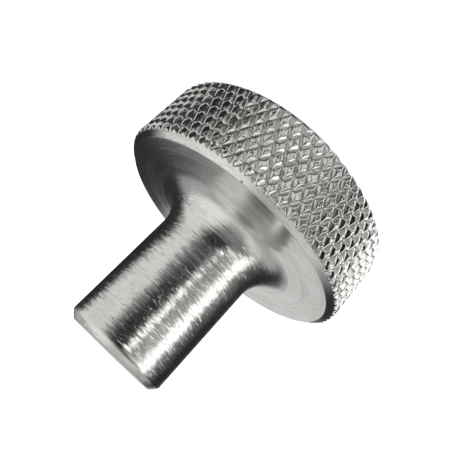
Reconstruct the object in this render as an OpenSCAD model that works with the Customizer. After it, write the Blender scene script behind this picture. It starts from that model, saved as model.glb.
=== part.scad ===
// Knurled knob with a turned neck. Millimetres, +Z along the axis.
// The head's outer face lies on z = 0 and the hub's end is at z = overall_h.

/* [Head] */
// Diameter over the points of the knurl
head_d = 25; // [23:0.25:27]
// Outer face to the flat underside of the head
head_h = 7.3; // [6.6:0.1:8.2]
// 45 degree chamfer at the outer face's rim
rim_chamfer = 0.5; // [0.3:0.05:0.8]
// Radial width of the chamfer under the knurl
under_chamfer_w = 0.8; // [0.6:0.05:1.2]
// Height of the chamfer under the knurl
under_chamfer_h = 0.6; // [0.4:0.05:0.9]

/* [Knurl] */
// Grooves in each of the two crossing families
knurl_count = 68; // [56:1:76]
// Angle of the grooves to the knob's axis, in degrees
knurl_angle = 30; // [25:1:35]
// Depth from the points to the groove bottoms
knurl_depth = 0.30; // [0.2:0.01:0.42]
// Width left flat on each point, as a share of the diamond
point_flat = 0.40; // [0.1:0.05:0.5]

/* [Hub] */
// Diameter of the plain hub
hub_d = 10; // [9:0.1:11]
// Outer face of the head to the end of the hub
overall_h = 22; // [20:0.5:26]
// Radius of the concave neck between hub and underside
neck_r = 3.1; // [2.4:0.1:3.6]
// 45 degree chamfer at the hub's end
hub_chamfer = 0.65; // [0.3:0.05:0.9]

/* [Tapped hole] */
// Minor diameter of the thread
thread_minor_d = 4.2; // [4:0.1:4.5]
// Depth of the drilled hole before its cone
drill_depth = 13; // [10:0.5:14]
// Mouth diameter of the countersink
mouth_d = 5.4; // [5.1:0.1:6]

/* [Hidden] */
$fn = 96;

// Pitch of the grooves round the circumference, and half their pitch along
// the axis: one row of points is that far from the next.
pitch_round = PI * head_d / knurl_count;
row_step = pitch_round / tan(knurl_angle) / 2;
first_row = -0.81 * row_step;
rows = ceil((head_h + 0.3 - first_row) / row_step) + 1;
tip_r = head_d / 2;
groove_r = tip_r - knurl_depth;

// Each row holds the places where grooves cross and, half a step round from
// each, the blunt point of a diamond. The next row up is turned by half a step.
function place(r, i, j) = let (a = (j + (i % 2) / 2) * 360 / knurl_count)
    [r * cos(a), r * sin(a), first_row + i * row_step];
function flat_r(i) = i == 0 || i == rows - 1 ? groove_r : tip_r;
function crossing(i, j) = i * knurl_count + (j % knurl_count);
// Corners of a point's flat: 0 left, 1 right, 2 up, 3 down
function corner(i, j, k) = rows * knurl_count + 4 * crossing(i, j) + k;
function raised(i, j, da, dz) = let (p = place(flat_r(i), i, j + 0.5 + da / 2))
    [p[0], p[1], p[2] + dz * row_step];

// A solid rod whose side is all four-sided points. Its ends taper away far
// outside the knob, so only the knurled side touches the blank.
module knurled_rod() {
    low = 5 * rows * knurl_count;
    high = low + 1;
    crossings = [for (i = [0 : rows - 1]) for (j = [0 : knurl_count - 1]) place(groove_r, i, j)];
    corners = [for (i = [0 : rows - 1]) for (j = [0 : knurl_count - 1])
        each [raised(i, j, -point_flat, 0), raised(i, j, point_flat, 0),
              raised(i, j, 0, point_flat), raised(i, j, 0, -point_flat)]];
    diamonds = [for (i = [0 : rows - 1]) for (j = [0 : knurl_count - 1]) let (
            s = i % 2,
            l = corner(i, j, 0), r = corner(i, j, 1), u = corner(i, j, 2), d = corner(i, j, 3),
            left = crossing(i, j),
            right = crossing(i, j + 1),
            up = i == rows - 1 ? high : crossing(i + 1, j + s),
            down = i == 0 ? low : crossing(i - 1, j + s))
        each [[l, u, r], [l, r, d],
              [u, up, right], [u, right, r],
              [left, up, u], [left, u, l],
              [down, left, l], [down, l, d],
              [right, down, d], [right, d, r]]];
    polyhedron(
        points = concat(crossings, corners, [[0, 0, -head_h], [0, 0, 3 * overall_h]]),
        faces = diamonds, convexity = 6);
}

// The turned blank. Both chamfers run out past the points, so the knurl meets
// the chamfers and nothing else.
module blank() {
    past = 0.3;
    slope = under_chamfer_h / under_chamfer_w;
    hub_r = hub_d / 2;
    rotate_extrude() difference() {
        union() {
            polygon([
                [0, 0],
                [tip_r - rim_chamfer, 0],
                [tip_r + past, rim_chamfer + past],
                [tip_r + past, head_h - under_chamfer_h - past * slope],
                [tip_r - under_chamfer_w, head_h],
                [hub_r + neck_r, head_h],
                [hub_r + neck_r, head_h + neck_r],
                [hub_r, head_h + neck_r],
                [hub_r, overall_h - hub_chamfer],
                [hub_r - hub_chamfer, overall_h],
                [0, overall_h]
            ]);
        }
        translate([hub_r + neck_r, head_h + neck_r]) circle(r = neck_r);
    }
}

module tapped_hole() {
    minor_r = thread_minor_d / 2;
    mouth_r = mouth_d / 2;
    point_h = minor_r * tan(31);
    // One turned cutter: drill point, tapping bore and countersink.
    rotate_extrude() polygon([
        [0, overall_h - drill_depth - point_h],
        [minor_r, overall_h - drill_depth],
        [minor_r, overall_h - (mouth_r - minor_r)],
        [mouth_r + 1, overall_h + 1],
        [0, overall_h + 1]
    ]);
}

module knob() {
    color([0.66, 0.67, 0.66]) difference() {
        intersection() {
            blank();
            knurled_rod();
        }
        tapped_hole();
    }
}

knob();
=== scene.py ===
import bpy
import math
import numpy as np
from mathutils import Matrix, Vector


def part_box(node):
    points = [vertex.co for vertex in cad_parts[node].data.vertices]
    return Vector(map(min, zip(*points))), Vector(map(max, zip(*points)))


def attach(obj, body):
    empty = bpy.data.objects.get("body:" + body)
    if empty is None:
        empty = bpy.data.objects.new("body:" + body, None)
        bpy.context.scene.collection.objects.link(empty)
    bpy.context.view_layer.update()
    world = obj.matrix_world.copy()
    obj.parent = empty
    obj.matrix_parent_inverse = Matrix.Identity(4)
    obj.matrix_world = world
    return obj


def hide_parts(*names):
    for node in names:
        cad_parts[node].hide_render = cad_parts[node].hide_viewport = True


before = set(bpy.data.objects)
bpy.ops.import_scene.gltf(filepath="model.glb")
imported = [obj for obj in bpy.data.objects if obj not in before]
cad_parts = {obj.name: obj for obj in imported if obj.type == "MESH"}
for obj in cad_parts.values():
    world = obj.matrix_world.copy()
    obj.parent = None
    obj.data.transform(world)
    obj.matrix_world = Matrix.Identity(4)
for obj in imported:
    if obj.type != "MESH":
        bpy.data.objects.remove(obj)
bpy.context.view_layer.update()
scene = bpy.context.scene

# ---------------------------------------------------------------- dimensions
# Millimetres, as in the CAD part; its box gives the two overall sizes.
node_lo, node_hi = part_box("knob")
TIP_R = (node_hi.x - node_lo.x) / 2 * 1000
TOP = node_hi.z * 1000
HEAD_H = 7.3
RIM_CHAMFER = 0.5
UNDER_W, UNDER_H = 0.8, 0.6
COUNT = 68
DEPTH = 0.31
FLAT = 0.36
HUB_R = 5.0
NECK_R = 3.1
HUB_CHAMFER = 0.65
BORE_R, DRILL_Z = 2.1, TOP - 13.0
MOUTH_R = 2.7
THREAD_R, THREAD_PITCH = 2.5, 0.8

PITCH_ROUND = 2 * math.pi * TIP_R / COUNT
ROW = PITCH_ROUND / math.tan(math.radians(30)) / 2
FIRST_ROW = -0.81 * ROW
GROOVE_R = TIP_R - DEPTH

rng = np.random.RandomState(7)


# ---------------------------------------------------------------- the knurl
def wrap_blur(a, n_col, n_row, times=2):
    """Box blur, wrapping round the knob."""
    for _ in range(times):
        s = sum(np.roll(a, k, axis=1) for k in range(-n_col, n_col + 1))
        a = s / (2 * n_col + 1)
        p = np.pad(a, ((n_row, n_row), (0, 0)), mode="edge")
        a = sum(p[k:k + a.shape[0]] for k in range(2 * n_row + 1)) / (2 * n_row + 1)
    return a


def unit_noise(shape, n_col, n_row):
    a = wrap_blur(rng.normal(size=shape), n_col, n_row)
    return a / a.std()


STEPS = 8
COLS = COUNT * 2 * STEPS
low_rows = [FIRST_ROW + k * ROW / STEPS for k in range(7, 400)]
low_rows = [z for z in low_rows if z < HEAD_H - UNDER_H - 0.30]
fine = np.linspace(low_rows[-1], HEAD_H, 19)[1:].tolist()
Z_ROWS = np.array([0.0] + low_rows + fine)
THETA = np.arange(COLS) * 2 * math.pi / COLS
T, Z = np.meshgrid(THETA, Z_ROWS)

# Two families of grooves: whole numbers of u and of v are groove bottoms.
u = COUNT * T / (2 * math.pi) + (Z - FIRST_ROW) / (2 * ROW)
v = COUNT * T / (2 * math.pi) - (Z - FIRST_ROW) / (2 * ROW)
# The rolls never track perfectly: the grooves wander by a few hundredths.
wander = 0.016 * unit_noise(T.shape, 40, 12)
wander2 = 0.016 * unit_noise(T.shape, 40, 12)
u = u + wander
v = v + wander2
fu, fv = u - np.floor(u), v - np.floor(v)
iu, iv = np.floor(u).astype(int), np.floor(v).astype(int)
row_id = (iu - iv) % 64
col_id = (iu + iv) % (2 * COUNT)


def per_point(scale=1.0):
    return rng.uniform(-1, 1, size=(64, 2 * COUNT))[row_id, col_id] * scale


p, q = fu - 0.5, fv - 0.5
edge = 2 * np.minimum(np.minimum(fu, 1 - fu), np.minimum(fv, 1 - fv))
level = 1.02 - 0.08 * (0.5 + 0.5 * per_point())
# The flanks are steep at the groove and round over towards the flat.
flank = np.clip(edge / (1 - FLAT), 0, 1)
flank = np.sqrt((1 - (1 - flank) ** 1.25) ** 2 + 0.03 ** 2) - 0.01
soft = 0.04
height = -soft * np.logaddexp(-flank / soft, -level / soft)
# The metal closes over each point from four sides and leaves a small crater.
cu, cv = p + per_point(0.07), q + per_point(0.07)
rad = np.sqrt(cu ** 2 + cv ** 2 + per_point(0.6) * cu * cv)
crater = 0.07 + 0.12 * per_point() ** 4 + 0.04 * per_point()
height = height - crater * np.exp(-(rad / 0.100) ** 2)
height = height + 0.016 * np.exp(-((rad - 0.17) / 0.04) ** 2)
# Each flat sits a little askew.
height = height + (per_point(0.22) * p + per_point(0.22) * q) * np.clip(edge * 1.6, 0, 1)
rough = 0.040 * unit_noise(T.shape, 1, 1) + 0.034 * unit_noise(T.shape, 3, 2)
height = np.clip(height + rough * np.clip(edge * 2, 0.25, 1), -0.06, 1.0)
R = GROOVE_R + DEPTH * height

# The two turned chamfers cut through it, with a small torn edge where they do.
tear = 0.035 * unit_noise((1, COLS), 2, 0)
low_cut = (TIP_R - RIM_CHAMFER) + Z
under_slope = UNDER_W / UNDER_H
high_cut = (TIP_R - UNDER_W) + (HEAD_H - Z) * under_slope
# Just under the knurl the chamfer carries a thin rolled burr.
burr = np.exp(-((high_cut - (GROOVE_R + 0.16)) / 0.10) ** 2) * (0.035 + 0.02 * tear / 0.035)
R = np.minimum(R, low_cut + 0.0 * Z)
R = np.minimum(R, high_cut + np.where(high_cut > GROOVE_R - 0.05, burr * height, 0))
R = np.minimum(R, TIP_R)
R[0, :] = TIP_R - RIM_CHAMFER
R[-1, :] = TIP_R - UNDER_W
on_knurl = (R < np.minimum(low_cut, high_cut) - 0.004).astype(float)
knurl_mask = np.clip(wrap_blur(on_knurl, 1, 1, 1) * 1.4, 0, 1)
knurl_height = np.clip(height, 0, 1)

verts, tris = [], []
marks = []          # per vertex: knurl mask, height in the groove


def add_ring(radius, z, n, mask=0.0, high=1.0, start=0.0):
    first = len(verts)
    for k in range(n):
        a = start + 2 * math.pi * k / n
        rr = radius[k] if hasattr(radius, "__len__") else radius
        zz = z[k] if hasattr(z, "__len__") else z
        verts.append((rr * math.cos(a), rr * math.sin(a), zz))
        marks.append((mask[k] if hasattr(mask, "__len__") else mask,
                      high[k] if hasattr(high, "__len__") else high))
    return first


def stitch(a, b, n):
    """Quads between two rings of n, each as two triangles. b is further on."""
    for k in range(n):
        k2 = (k + 1) % n
        tris.append((a + k, a + k2, b + k2))
        tris.append((a + k, b + k2, b + k))


def stitch_down(a, n_a, b, n_b):
    """A ring of n_a vertices to one of n_b, where n_b divides n_a."""
    m = n_a // n_b
    for k in range(n_b):
        k2 = (k + 1) % n_b
        half = m // 2
        for s in range(m):
            i0 = a + (k * m + s) % n_a
            i1 = a + (k * m + s + 1) % n_a
            tris.append((i0, i1, b + (k if s < half else k2)))
        tris.append((a + (k * m + half) % n_a, b + k2, b + k))


row_first = []
for i in range(len(Z_ROWS)):
    row_first.append(add_ring(R[i], float(Z_ROWS[i]), COLS, knurl_mask[i], knurl_height[i]))
# Diagonals follow whichever groove runs through the cell.
for i in range(len(Z_ROWS) - 1):
    k = np.arange(COLS)
    k2 = (k + 1) % COLS
    um = (u[i] + u[i][k2]) / 2
    cu_ = (u[i][k] + (u[i + 1][k2] if False else u[i + 1][k])) / 2
    du = np.abs(cu_ + 0.25 / STEPS - np.round(cu_ + 0.25 / STEPS))
    cv_ = (v[i][k] + v[i + 1][k]) / 2
    dv = np.abs(cv_ + 0.25 / STEPS - np.round(cv_ + 0.25 / STEPS))
    a, b = row_first[i], row_first[i + 1]
    back = du < dv           # a groove of family u runs down to the right
    for c in range(COLS):
        c2 = (c + 1) % COLS
        if back[c]:
            tris.append((a + c, a + c2, b + c))
            tris.append((a + c2, b + c2, b + c))
        else:
            tris.append((a + c, a + c2, b + c2))
            tris.append((a + c, b + c2, b + c))


# ---------------------------------------------------------------- the turned faces
def arc(cr, cz, r, a0, a1, n):
    """Points on an arc in the profile plane, angles in degrees from +r towards +z."""
    return [(cr + r * math.cos(math.radians(a0 + (a1 - a0) * i / n)),
             cz + r * math.sin(math.radians(a0 + (a1 - a0) * i / n))) for i in range(n + 1)]


N = 2 * COUNT
chamfer_r = TIP_R - UNDER_W
profile = []
# Underside: a flat face from its rim to the neck.
for r in (chamfer_r - 0.05, chamfer_r - 0.12, chamfer_r - 0.5, chamfer_r - 1.4, chamfer_r - 2.6):
    profile.append((r, HEAD_H))
neck_c = (HUB_R + NECK_R, HEAD_H + NECK_R)
profile += arc(neck_c[0], neck_c[1], NECK_R, 270, 180, 22)
z0 = HEAD_H + NECK_R
for i in range(1, 9):
    profile.append((HUB_R, z0 + (TOP - HUB_CHAMFER - 0.30 - z0) * i / 8))
BREAK = 0.45          # both corners of the chamfer are broken
tangent = BREAK * math.tan(math.radians(22.5))
profile.append((HUB_R, TOP - HUB_CHAMFER - tangent - 0.03))
profile += arc(HUB_R - BREAK, TOP - HUB_CHAMFER - tangent, BREAK, 0, 45, 5)
profile += arc(HUB_R - HUB_CHAMFER - tangent, TOP - BREAK, BREAK, 45, 90, 5)
for r in (3.9, 3.4, 3.0, MOUTH_R + 0.08):
    profile.append((r, TOP))
profile += [(MOUTH_R + 0.02, TOP - 0.01), (MOUTH_R - 0.03, TOP - 0.05), (THREAD_R + 0.02, TOP - 0.22)]

first = None
ring = row_first[-1]
b = add_ring(profile[0][0], profile[0][1], N)
stitch_down(ring, COLS, b, N)
ring = b
for r, z in profile[1:]:
    b = add_ring(r, z, N)
    stitch(ring, b, N)
    ring = b

# The thread: a 60 degree form, turned as a helix, fading out at the mouth and
# into the drilled bore.
M = COUNT
b = add_ring(THREAD_R, TOP - 0.26, M)
stitch_down(ring, N, b, M)
ring = b
z_top, z_low = TOP - 0.30, DRILL_Z + 1.4
steps = int((z_top - z_low) / (THREAD_PITCH / 8))
angles = np.arange(M) * 2 * math.pi / M
for i in range(steps + 1):
    z = z_top - (z_top - z_low) * i / steps
    phase = (z / THREAD_PITCH - angles / (2 * math.pi)) % 1.0
    tri = 1 - np.abs(2 * phase - 1)                     # 0 at the crest, 1 at the root
    form = np.clip((tri - 0.12) / 0.72, 0, 1)
    fade = min(1.0, i / 10.0, (steps - i) / 10.0)
    cut = BORE_R + (THREAD_R - BORE_R) * form
    if i < 10:
        base = MOUTH_R - 0.2 - (MOUTH_R - 0.2 - BORE_R) * (i / 10.0)
        cut = np.maximum(base, cut)
    else:
        cut = BORE_R + (cut - BORE_R) * fade
    b = add_ring(cut, z, M)
    stitch(ring, b, M)
    ring = b
tip = BORE_R * math.tan(math.radians(31))
for r, z in [(BORE_R, DRILL_Z + 0.7), (BORE_R, DRILL_Z + 0.04), (BORE_R - 0.05, DRILL_Z - 0.02),
             (BORE_R * 0.5, DRILL_Z - tip * 0.5), (0.06, DRILL_Z - tip * 0.97)]:
    b = add_ring(r, z, M)
    stitch(ring, b, M)
    ring = b
centre = len(verts)
verts.append((0, 0, DRILL_Z - tip))
marks.append((0, 1))
for k in range(M):
    tris.append((ring + k, ring + (k + 1) % M, centre))

# Outer face, from its rim inwards: flat, with the small centre left by facing.
ring, n = row_first[0], COLS
face = [(TIP_R - RIM_CHAMFER - 0.04, 0.0), (TIP_R - RIM_CHAMFER - 0.12, 0.0), (9.5, 0.0), (6.0, 0.0),
        (3.0, 0.0), (1.2, 0.0), (0.5, 0.0), (0.34, 0.008), (0.2, 0.03), (0.08, 0.045)]
for r, z in face:
    b = add_ring(r, z, N)
    if n == COLS:
        m = COLS // N
        for k in range(N):
            k2 = (k + 1) % N
            half = m // 2
            for s in range(m):
                i0 = ring + (k * m + s) % COLS
                i1 = ring + (k * m + s + 1) % COLS
                tris.append((i1, i0, b + (k if s < half else k2)))
            tris.append((ring + (k * m + half) % COLS, b + k, b + k2))
    else:
        for k in range(N):
            k2 = (k + 1) % N
            tris.append((ring + k2, ring + k, b + k2))
            tris.append((b + k2, ring + k, b + k))
    ring, n = b, N
centre = len(verts)
verts.append((0, 0, 0.05))
marks.append((0, 1))
for k in range(N):
    tris.append((ring + (k + 1) % N, ring + k, centre))

co = np.array(verts, float) / 1000
tri = np.array(tris, np.int32)
mesh = bpy.data.meshes.new("turned_knob")
mesh.vertices.add(len(co))
mesh.vertices.foreach_set("co", co.ravel())
mesh.loops.add(tri.size)
mesh.loops.foreach_set("vertex_index", tri.ravel())
mesh.polygons.add(len(tri))
mesh.polygons.foreach_set("loop_start", np.arange(0, tri.size, 3, dtype=np.int32))
mesh.polygons.foreach_set("loop_total", np.full(len(tri), 3, np.int32))
mesh.update(calc_edges=True)
mesh.validate()
mesh.polygons.foreach_set("use_smooth", np.ones(len(mesh.polygons), bool))
marks = np.array(marks, np.float32)
for name, column in (("knurl", 0), ("groove", 1)):
    layer = mesh.attributes.new(name, "FLOAT", "POINT")
    layer.data.foreach_set("value", np.ascontiguousarray(marks[:, column]))
mesh.update()
knob = bpy.data.objects.new("turned_knob", mesh)
scene.collection.objects.link(knob)
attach(knob, "root")
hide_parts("knob")
print("KNOB faces", len(mesh.polygons))


# ---------------------------------------------------------------- material
class Nodes:
    """Short hand for making nodes."""

    def __init__(self, tree):
        self.tree = tree

    def new(self, kind, **inputs):
        n = self.tree.nodes.new(kind)
        for key, value in inputs.items():
            if key.startswith("p_"):
                setattr(n, key[2:], value)
        for key, value in inputs.items():
            if key.startswith("p_"):
                continue
            sock = n.inputs[int(key[1:])] if key[0] == "i" and key[1:].isdigit() else n.inputs[key.replace("_", " ")]
            if hasattr(value, "is_output"):
                self.tree.links.new(value, sock)
            else:
                sock.default_value = value
        return n

    def math(self, op, a, b=None, c=None, clamp=False):
        n = self.tree.nodes.new("ShaderNodeMath")
        n.operation = op
        n.use_clamp = clamp
        for i, x in enumerate((a, b, c)):
            if x is None:
                continue
            if hasattr(x, "is_output"):
                self.tree.links.new(x, n.inputs[i])
            else:
                n.inputs[i].default_value = x
        return n.outputs[0]

    def ramp(self, x, a, b, lo=0.0, hi=1.0, smooth=True):
        n = self.tree.nodes.new("ShaderNodeMapRange")
        n.interpolation_type = "SMOOTHSTEP" if smooth else "LINEAR"
        n.clamp = True
        self.tree.links.new(x, n.inputs["Value"])
        for name, val in (("From Min", a), ("From Max", b), ("To Min", lo), ("To Max", hi)):
            n.inputs[name].default_value = val
        return n.outputs["Result"]

    def mix(self, f, a, b):
        n = self.tree.nodes.new("ShaderNodeMix")
        n.data_type = "RGBA"
        for sock, val in ((n.inputs[0], f), (n.inputs[6], a), (n.inputs[7], b)):
            if hasattr(val, "is_output"):
                self.tree.links.new(val, sock)
            else:
                sock.default_value = val
        return n.outputs[2]


CHATTER, DRIFT, FEED, FLECK = 0.33, 0.15, 0.26, 0.20


def turned_metal():
    mat = bpy.data.materials.new("turned_steel")
    mat.use_nodes = True
    tree = mat.node_tree
    tree.nodes.clear()
    N_ = Nodes(tree)
    out = tree.nodes.new("ShaderNodeOutputMaterial")
    bsdf = tree.nodes.new("ShaderNodeBsdfPrincipled")
    tree.links.new(bsdf.outputs[0], out.inputs["Surface"])
    bsdf.inputs["Metallic"].default_value = 1.0

    obj = N_.new("ShaderNodeTexCoord").outputs["Object"]
    mm = N_.new("ShaderNodeVectorMath", p_operation="SCALE", i0=obj, Scale=1000.0).outputs[0]
    xyz = N_.new("ShaderNodeSeparateXYZ", i0=mm)
    x, y, z = xyz.outputs
    r = N_.math("SQRT", N_.math("ADD", N_.math("MULTIPLY", x, x), N_.math("MULTIPLY", y, y)))
    # Distance along the turned profile: it grows up the hub and inwards over
    # the underside, so lines of it are the tool's feed marks everywhere.
    along = N_.math("SUBTRACT", z, r)
    knurl = N_.new("ShaderNodeAttribute", p_attribute_name="knurl").outputs["Fac"]
    groove = N_.new("ShaderNodeAttribute", p_attribute_name="groove").outputs["Fac"]
    plain = N_.math("SUBTRACT", 1.0, knurl, clamp=True)

    def streak(round_scale, along_scale, detail=2.0, rough=0.55, shift=0.0):
        vec = N_.new("ShaderNodeCombineXYZ",
                     X=N_.math("MULTIPLY", x, round_scale),
                     Y=N_.math("MULTIPLY", y, round_scale),
                     Z=N_.math("MULTIPLY_ADD", along, along_scale, shift)).outputs[0]
        n = N_.new("ShaderNodeTexNoise", Vector=vec, Scale=1.0, Detail=detail, Roughness=rough)
        return n.outputs["Fac"]

    def centred(f, gain):
        return N_.math("MULTIPLY", N_.math("SUBTRACT", f, 0.5), gain)

    feed = streak(0.05, 4.2, 2.5, 0.6)                 # near-continuous rings
    chatter = streak(1.35, 12.5, 4.0, 0.7)         # short dashes round the part
    drift = streak(0.80, 3.0, 3.0, 0.6, 7.0)      # slow wander of the surface
    blotch = streak(0.35, 0.5, 3.0, 0.55, 3.0)
    fleck = streak(1.20, 15.0, 3.0, 0.65, 11.0)    # scattered torn dashes
    fine = N_.new("ShaderNodeTexNoise", Vector=mm, Scale=8.0, Detail=3.0, Roughness=0.65).outputs["Fac"]
    pits_v = N_.new("ShaderNodeTexVoronoi", p_feature="F1", Vector=mm, Scale=0.42, Randomness=1.0)
    pits = N_.ramp(pits_v.outputs["Distance"], 0.030, 0.060, 1.0, 0.0)

    # The tool leaves the turned faces a little out of true, round the part and
    # along its profile. Each is a small tilt of the surface.
    normal = N_.new("ShaderNodeNewGeometry").outputs["Normal"]
    inv = N_.math("DIVIDE", 1.0, N_.math("MAXIMUM", r, 0.05))
    round_dir = N_.new("ShaderNodeCombineXYZ",
                       X=N_.math("MULTIPLY", N_.math("MULTIPLY", y, -1.0), inv),
                       Y=N_.math("MULTIPLY", x, inv)).outputs[0]
    along_dir = N_.new("ShaderNodeVectorMath", p_operation="CROSS_PRODUCT", i0=round_dir, i1=normal).outputs[0]
    tilt_round = N_.math("ADD", centred(chatter, CHATTER), centred(drift, DRIFT))
    torn = N_.math("SUBTRACT", N_.ramp(fleck, 0.57, 0.68), N_.ramp(fleck, 0.43, 0.32))
    tilt_round = N_.math("ADD", tilt_round, N_.math("MULTIPLY", torn, FLECK))
    # The faced underside is truer than the hub.
    tilt_round = N_.math("MULTIPLY", N_.math("MULTIPLY", tilt_round, plain), N_.ramp(r, 5.4, 6.8, 1.0, 0.16))
    tilt_along = N_.math("ADD", centred(feed, FEED), centred(chatter, -0.20))
    tilt_along = N_.math("MULTIPLY", tilt_along, plain)
    tilted = N_.new("ShaderNodeVectorMath", p_operation="MULTIPLY_ADD", i0=round_dir,
                    i1=N_.new("ShaderNodeCombineXYZ", X=tilt_round, Y=tilt_round, Z=tilt_round).outputs[0],
                    i2=normal).outputs[0]
    tilted = N_.new("ShaderNodeVectorMath", p_operation="MULTIPLY_ADD", i0=along_dir,
                    i1=N_.new("ShaderNodeCombineXYZ", X=tilt_along, Y=tilt_along, Z=tilt_along).outputs[0],
                    i2=tilted).outputs[0]
    tilted = N_.new("ShaderNodeVectorMath", p_operation="NORMALIZE", i0=tilted).outputs[0]

    height = N_.math("MULTIPLY", fine, N_.math("MULTIPLY_ADD", knurl, 0.45, 0.02))
    height = N_.math("SUBTRACT", height, N_.math("MULTIPLY", pits, 0.4))
    bump = N_.new("ShaderNodeBump", Strength=1.0, Distance=0.00002, Height=height, Normal=tilted)
    tree.links.new(bump.outputs["Normal"], bsdf.inputs["Normal"])

    # Colour: bare bright steel, slightly warm-green, darker in the knurl's groove bottoms, partly dirt and partly
    # painted shade.
    tone = N_.mix(N_.ramp(blotch, 0.35, 0.65), (0.72, 0.73, 0.695, 1), (0.79, 0.80, 0.77, 1))
    lines = N_.math("ADD", N_.ramp(chatter, 0.50, 0.72), N_.math("MULTIPLY", N_.ramp(feed, 0.55, 0.72), 0.6), clamp=True)
    tone = N_.mix(N_.math("MULTIPLY", lines, 0.55), tone, (0.42, 0.43, 0.40, 1))
    # Groove bottoms of the knurl: dirt plus painted shade standing in for the shade the grooves cast on themselves.
    groove_dirt_and_shade = N_.math("MULTIPLY", N_.ramp(groove, 0.0, 0.16, 1.0, 0.0), knurl)
    tone = N_.mix(N_.math("MULTIPLY", groove_dirt_and_shade, 0.45), tone, (0.20, 0.20, 0.18, 1))
    grain = N_.math("MULTIPLY", N_.ramp(fine, 0.42, 0.62, 1.0, 0.0), knurl)
    tone = N_.mix(N_.math("MULTIPLY", grain, 0.20), tone, (0.42, 0.42, 0.39, 1))
    tone = N_.mix(N_.math("MULTIPLY", pits, 0.7), tone, (0.16, 0.16, 0.15, 1))
    tree.links.new(tone, bsdf.inputs["Base Color"])

    rough = N_.math("ADD", 0.17, N_.math("MULTIPLY", N_.ramp(chatter, 0.3, 0.75), 0.08))
    rough = N_.math("SUBTRACT", rough, N_.math("MULTIPLY", knurl, 0.07))
    rough = N_.math("ADD", rough, N_.math("MULTIPLY", groove_dirt_and_shade, 0.08))
    # The underside was faced more coarsely than the hub was turned.
    faced = N_.math("MULTIPLY", N_.ramp(r, 6.0, 8.5), plain)
    rough = N_.math("ADD", rough, N_.math("MULTIPLY", faced, 0.02))
    # Rings left by the tool scatter light along the profile, not round it.
    tree.links.new(N_.math("MULTIPLY", plain, N_.ramp(r, 6.0, 8.5, 0.35, 0.78)), bsdf.inputs["Anisotropic"])
    tree.links.new(along_dir, bsdf.inputs["Tangent"])
    tree.links.new(rough, bsdf.inputs["Roughness"])
    return mat


mesh.materials.append(turned_metal())

# ---------------------------------------------------------------- floor
fm = bpy.data.materials.new("pale_floor")
fm.use_nodes = True
ft = fm.node_tree
fb = next(n for n in ft.nodes if n.type == "BSDF_PRINCIPLED")
FN = Nodes(ft)
fnoise = FN.new("ShaderNodeTexNoise", Scale=40.0, Detail=2.0).outputs["Fac"]
ft.links.new(FN.mix(fnoise, (0.90, 0.90, 0.90, 1), (0.93, 0.93, 0.93, 1)), fb.inputs["Base Color"])
fb.inputs["Roughness"].default_value = 0.9
fb.inputs["Emission Color"].default_value = (1, 1, 1, 1)
fb.inputs["Emission Strength"].default_value = 0.85
fmesh = bpy.data.meshes.new("floor")
s = 3.0
fmesh.from_pydata([(-s, -s, 0), (s, -s, 0), (s, s, 0), (-s, s, 0)], [], [(0, 1, 2, 3)])
fmesh.materials.append(fm)
floor = bpy.data.objects.new("floor", fmesh)
floor.location.z = -0.00002
scene.collection.objects.link(floor)
floor.visible_glossy = False

# A dark flag stands close by, behind the knob's +X side, out of the camera's sight.
flag_mat = bpy.data.materials.new("dark_flag")
flag_mat.use_nodes = True
flag_bsdf = next(n for n in flag_mat.node_tree.nodes if n.type == "BSDF_PRINCIPLED")
flag_bsdf.inputs["Base Color"].default_value = (0.0, 0.0, 0.0, 1)
flag_bsdf.inputs["Specular IOR Level"].default_value = 0.0
flag_bsdf.inputs["Roughness"].default_value = 0.9
FM = Nodes(flag_mat.node_tree)
fx, fy, fz = FM.new("ShaderNodeSeparateXYZ", i0=FM.new("ShaderNodeTexCoord").outputs["Object"]).outputs
faz = FM.math("MULTIPLY", FM.math("ARCTAN2", fx, FM.math("MULTIPLY", fy, -1.0)), 180 / math.pi)
fmm = FM.math("MULTIPLY", fz, 1000.0)
near = FM.math("SUBTRACT", faz, FM.math("MULTIPLY", FM.math("SUBTRACT", fmm, 16.0), 1.1))
over = FM.math("SUBTRACT", fmm, FM.math("MULTIPLY", FM.math("SUBTRACT", faz, 115.0), 0.15))
glow = FM.math("MAXIMUM", FM.math("MULTIPLY", FM.ramp(near, 88, 116, 1.0, 0.0), 0.76),
               FM.math("MULTIPLY", FM.ramp(faz, 163, 172, 0.0, 1.0), 0.66))
glow = FM.math("MAXIMUM", glow, FM.math("MULTIPLY", FM.ramp(over, 18.0, 28.0, 0.0, 1.0), 0.36))
FM.tree.links.new(FM.math("ADD", glow, 0.018), flag_bsdf.inputs["Emission Strength"])
flag_bsdf.inputs["Emission Color"].default_value = (1, 1, 1, 1)
FLAG_R, FLAG_LOW, FLAG_TOP = 0.039, -0.008, 0.042
points, sides = [], []
for k in range(25):
    a = math.radians(48 + (176 - 48) * k / 24)
    for z in (FLAG_LOW, FLAG_TOP):
        points.append((FLAG_R * math.sin(a), -FLAG_R * math.cos(a), z))
for k in range(24):
    sides.append((2 * k, 2 * k + 2, 2 * k + 3, 2 * k + 1))
flag_mesh = bpy.data.meshes.new("flag")
flag_mesh.from_pydata(points, [], sides)
flag_mesh.materials.append(flag_mat)
flag = bpy.data.objects.new("flag", flag_mesh)
scene.collection.objects.link(flag)
flag.visible_camera = False
flag.visible_shadow = False
flag.visible_diffuse = False

# ---------------------------------------------------------------- light
# A studio of soft panels and dark flags, written as bands of azimuth and
# elevation round the knob. Azimuth 0 is the camera's side, -Y, and grows
# towards +X.
world = bpy.data.worlds.new("studio")
scene.world = world
world.use_nodes = True
wt = world.node_tree
wt.nodes.clear()
W = Nodes(wt)
wdir = W.new("ShaderNodeTexCoord").outputs["Generated"]
wx, wy, wz = W.new("ShaderNodeSeparateXYZ", i0=wdir).outputs
TURN = 0.75
az = W.math("MULTIPLY", W.math("ARCTAN2", wx, W.math("MULTIPLY", wy, -1.0)), 180 / math.pi)
az = W.math("SUBTRACT", az, TURN)
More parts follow.
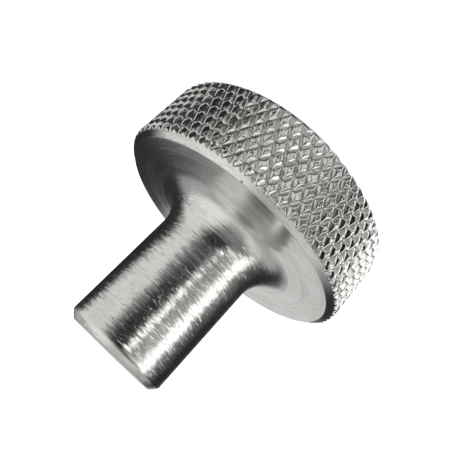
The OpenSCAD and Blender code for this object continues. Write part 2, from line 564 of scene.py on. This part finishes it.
# The same angle, cut at 0 instead of at 180.
azb = W.math("ADD", az, W.math("MULTIPLY", W.math("LESS_THAN", az, 0.0), 360.0))
el = W.math("MULTIPLY", W.math("ARCSINE", wz), 180 / math.pi)


def band(x, a, b, sa, sb):
    """1 between a and b, with soft edges sa and sb degrees wide."""
    up = W.ramp(x, a - sa / 2, a + sa / 2)
    down = W.ramp(x, b - sb / 2, b + sb / 2, 1.0, 0.0)
    return W.math("MULTIPLY", up, down)


def panel(level, a0, a1, e0, e1, sa=10, sb=None, se=10, st=None, lean=0.0):
    """A value, and where it applies: azimuth a0..a1, elevation e0..e1. Azimuths
    over 180 are past the back. lean moves it sideways with elevation."""
    x = azb if a1 > 180 else az
    if lean:
        x = W.math("SUBTRACT", x, W.math("MULTIPLY", el, lean))
    where = W.math("MULTIPLY", band(x, a0, a1, sa, sb or sa), band(el, e0, e1, se, st or se))
    return level, where


def lay(base, panels):
    for level, where in panels:
        base = W.math("ADD", W.math("MULTIPLY", base, W.math("SUBTRACT", 1.0, where)),
                      W.math("MULTIPLY", where, level))
    return base


# Ceiling and upper walls, then the level band, then what the table shows.
value = lay(W.math("ADD", W.ramp(el, 55, 78, 0.22, 0.42), W.ramp(el, 76, 88, 0.0, 0.36)), [
    panel(0.95, 22, 128, 24, 82, 34, 34, 16, 14),
    panel(0.45, 128, 250, 36, 100, 34, 30, 14),
    panel(0.46, -150, -108, 44, 84, 20, 30, 14),
    panel(0.78, -110, -60, 46, 84, 16, 26, 12),
    panel(0.72, 172, 202, -34, 44, 6, 12, 10),
    panel(0.12, 200, 214, -34, 36, 10, 6, 10, 14),
    panel(0.026, 209, 252, -34, 32, 10, 12, 10, 16),
    panel(0.08, 248, 264, -34, 36, 10, 12, 10, 14),
    panel(0.80, 40, 172, -34, 30, 16, 6, 10, 14),
    panel(0.40, -56, -26, -34, 22, 6, 8, 10, 16),
    panel(0.022, -30, 24, -34, 27, 8, 18, 10, 10),
    panel(1.7, -79, -55, -38, 24, 9, 10, 8, 10),
    panel(1.7, -59, -38, 20, 40, 10, 10, 8, 12, lean=-0.95),
    panel(2.5, -25, -11, -13, -3, 5, 8, 5, 3),
    panel(1.2, -50, -24, 5, 17, 8, 8, 6, 6),
])
low = lay(W.ramp(el, -62, -38, 0.42, 0.62), [
    panel(0.82, -34, 34, -50, 0, 26, 26, 14),
    panel(0.07, -88, -34, -48, 0, 14, 24, 12),
    panel(0.03, 38, 150, -64, 0, 30, 16, 12),
    panel(0.05, 20, 150, -90, -46, 20, 20, 12),
    panel(1.60, -170, -50, -80, -46, 20, 20, 12),
    panel(0.50, 152, 190, -60, 0, 12, 12, 12),
    panel(2.2, 182, 268, -52, 0, 14, 14, 14),
])
below = W.ramp(el, -27, -20, 1.0, 0.0)
value = W.math("ADD", W.math("MULTIPLY", value, W.math("SUBTRACT", 1.0, below)),
               W.math("MULTIPLY", below, low))
grey = wt.nodes.new("ShaderNodeCombineColor")
for i in range(3):
    wt.links.new(value, grey.inputs[i])
lit = W.new("ShaderNodeBackground", Color=grey.outputs[0], Strength=1.0)
backdrop = W.new("ShaderNodeBackground", Color=(1, 1, 1, 1), Strength=1.05)
path = wt.nodes.new("ShaderNodeLightPath")
mixw = wt.nodes.new("ShaderNodeMixShader")
wt.links.new(path.outputs["Is Camera Ray"], mixw.inputs[0])
wt.links.new(lit.outputs[0], mixw.inputs[1])
wt.links.new(backdrop.outputs[0], mixw.inputs[2])
wout = wt.nodes.new("ShaderNodeOutputWorld")
wt.links.new(mixw.outputs[0], wout.inputs["Surface"])
world.cycles.sampling_method = "MANUAL"
world.cycles.sample_map_resolution = 1024

# ---------------------------------------------------------------- camera
UNIT = TIP_R / 1000
cam_data = bpy.data.cameras.new("camera")
cam = bpy.data.objects.new("camera", cam_data)
scene.collection.objects.link(cam)
scene.camera = cam
D, ZC, PITCH, YAW, ROLL, FOCAL = 3.5703, 1.7990, 0.3477, 0.0167, -2.3712, 494.275
fwd = Vector((math.sin(YAW) * math.cos(PITCH), math.cos(YAW) * math.cos(PITCH), -math.sin(PITCH)))
right = fwd.cross(Vector((0, 0, 1))).normalized()
up = right.cross(fwd)
right, up = (math.cos(ROLL) * right + math.sin(ROLL) * up, -math.sin(ROLL) * right + math.cos(ROLL) * up)
rot = Matrix((right, up, -fwd)).transposed()
spin = Matrix.Rotation(math.radians(TURN), 3, "Z")
cam.matrix_world = Matrix.Translation(spin @ Vector((0, -D * UNIT, ZC * UNIT))) @ (spin @ rot).to_4x4()
cam_data.sensor_width = 36.0
cam_data.lens = FOCAL / 460 * 36.0
cam_data.shift_x = 0.0120
cam_data.shift_y = -0.0133
cam_data.clip_start = 0.001
cam_data.clip_end = 20.0

scene.view_settings.view_transform = "Standard"
scene.view_settings.look = "None"
